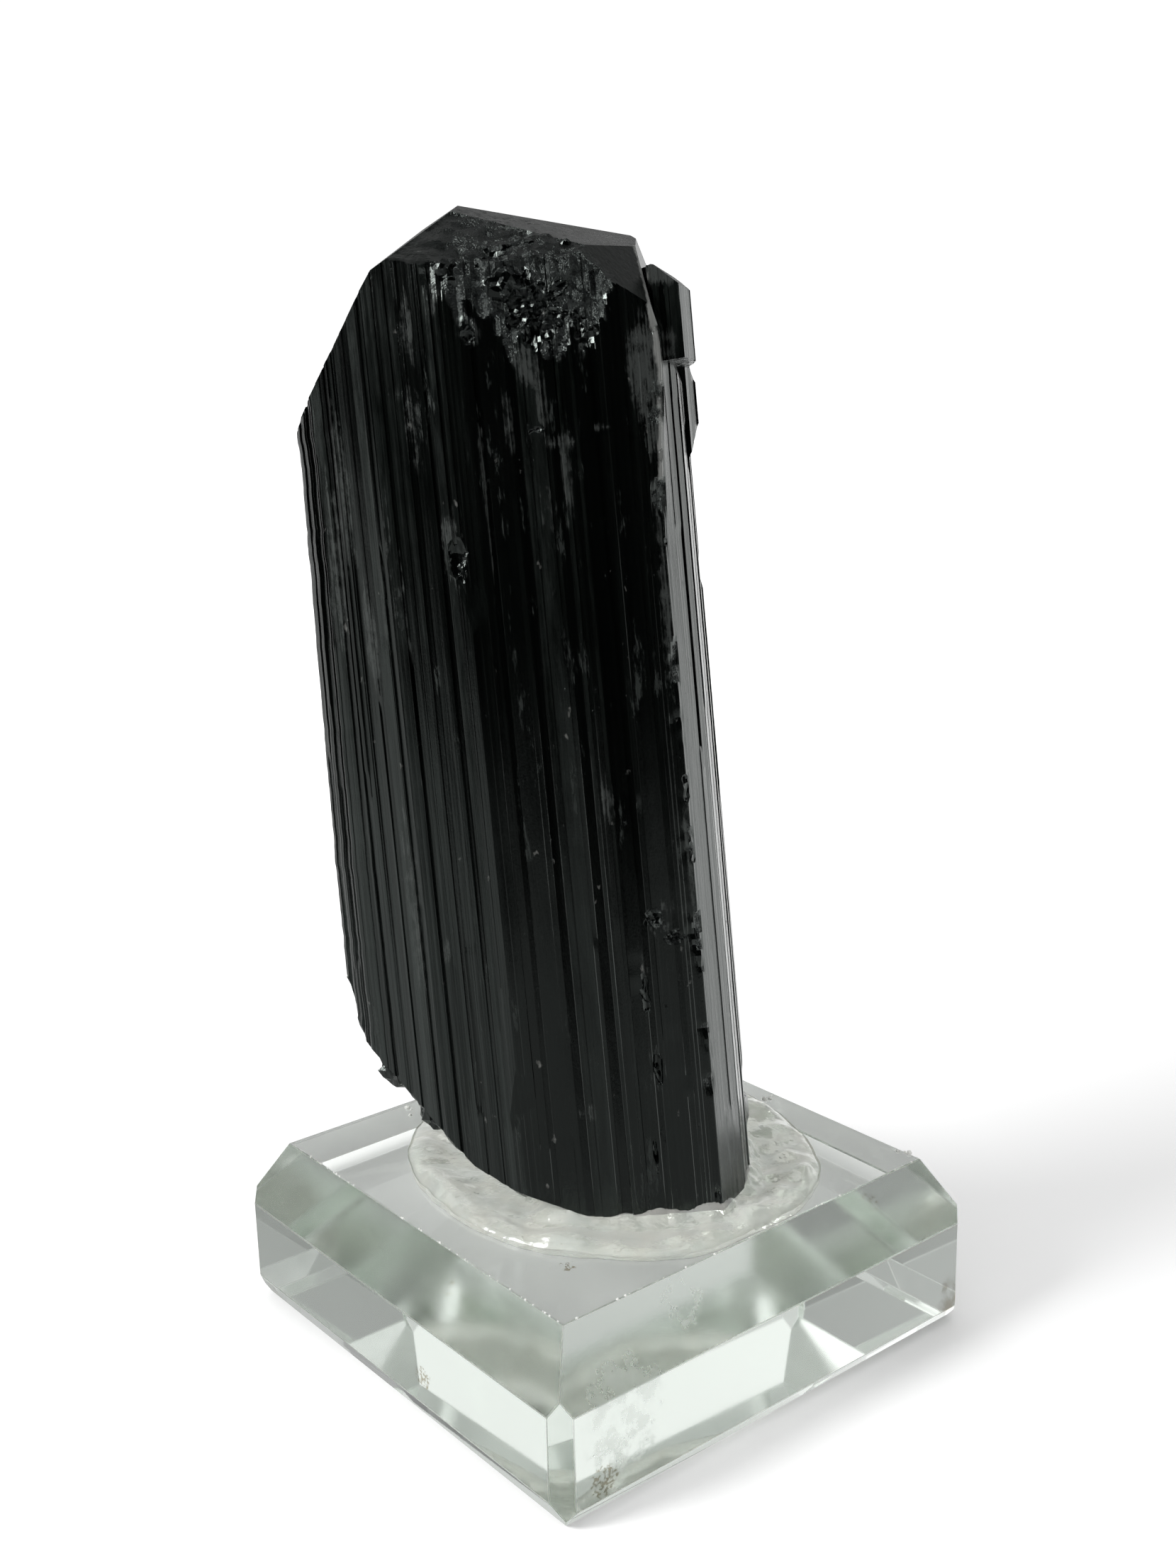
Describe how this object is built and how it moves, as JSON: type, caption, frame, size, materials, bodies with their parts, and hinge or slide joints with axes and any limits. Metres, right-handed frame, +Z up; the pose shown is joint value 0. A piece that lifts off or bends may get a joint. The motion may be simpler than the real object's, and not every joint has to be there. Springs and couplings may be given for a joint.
{
  "type": "tourmaline crystal on display block",
  "caption": "Black tourmaline crystal, a long striated prism with a faceted top and a broken foot, glued upright on a clear square display block with bevelled edges.",
  "frame": {"origin": "middle of the block's flat underside, on the surface it stands on", "axes": "+Z up, X and Y along the block's sides; the crystal's broad front faces 51 degrees from -Y towards +X"},
  "size_m": [0.0515, 0.0508, 0.106],
  "materials": {
    "tourmaline": "black, satin to glossy, striated",
    "clear_block": "clear, polished, faint grey-green tint",
    "mount_glue": "milky clear, glossy, lumpy"
  },
  "bodies": {
    "root": {"crystal": "tourmaline", "base": "clear_block", "glue": "mount_glue"}
  },
  "joints": []
}
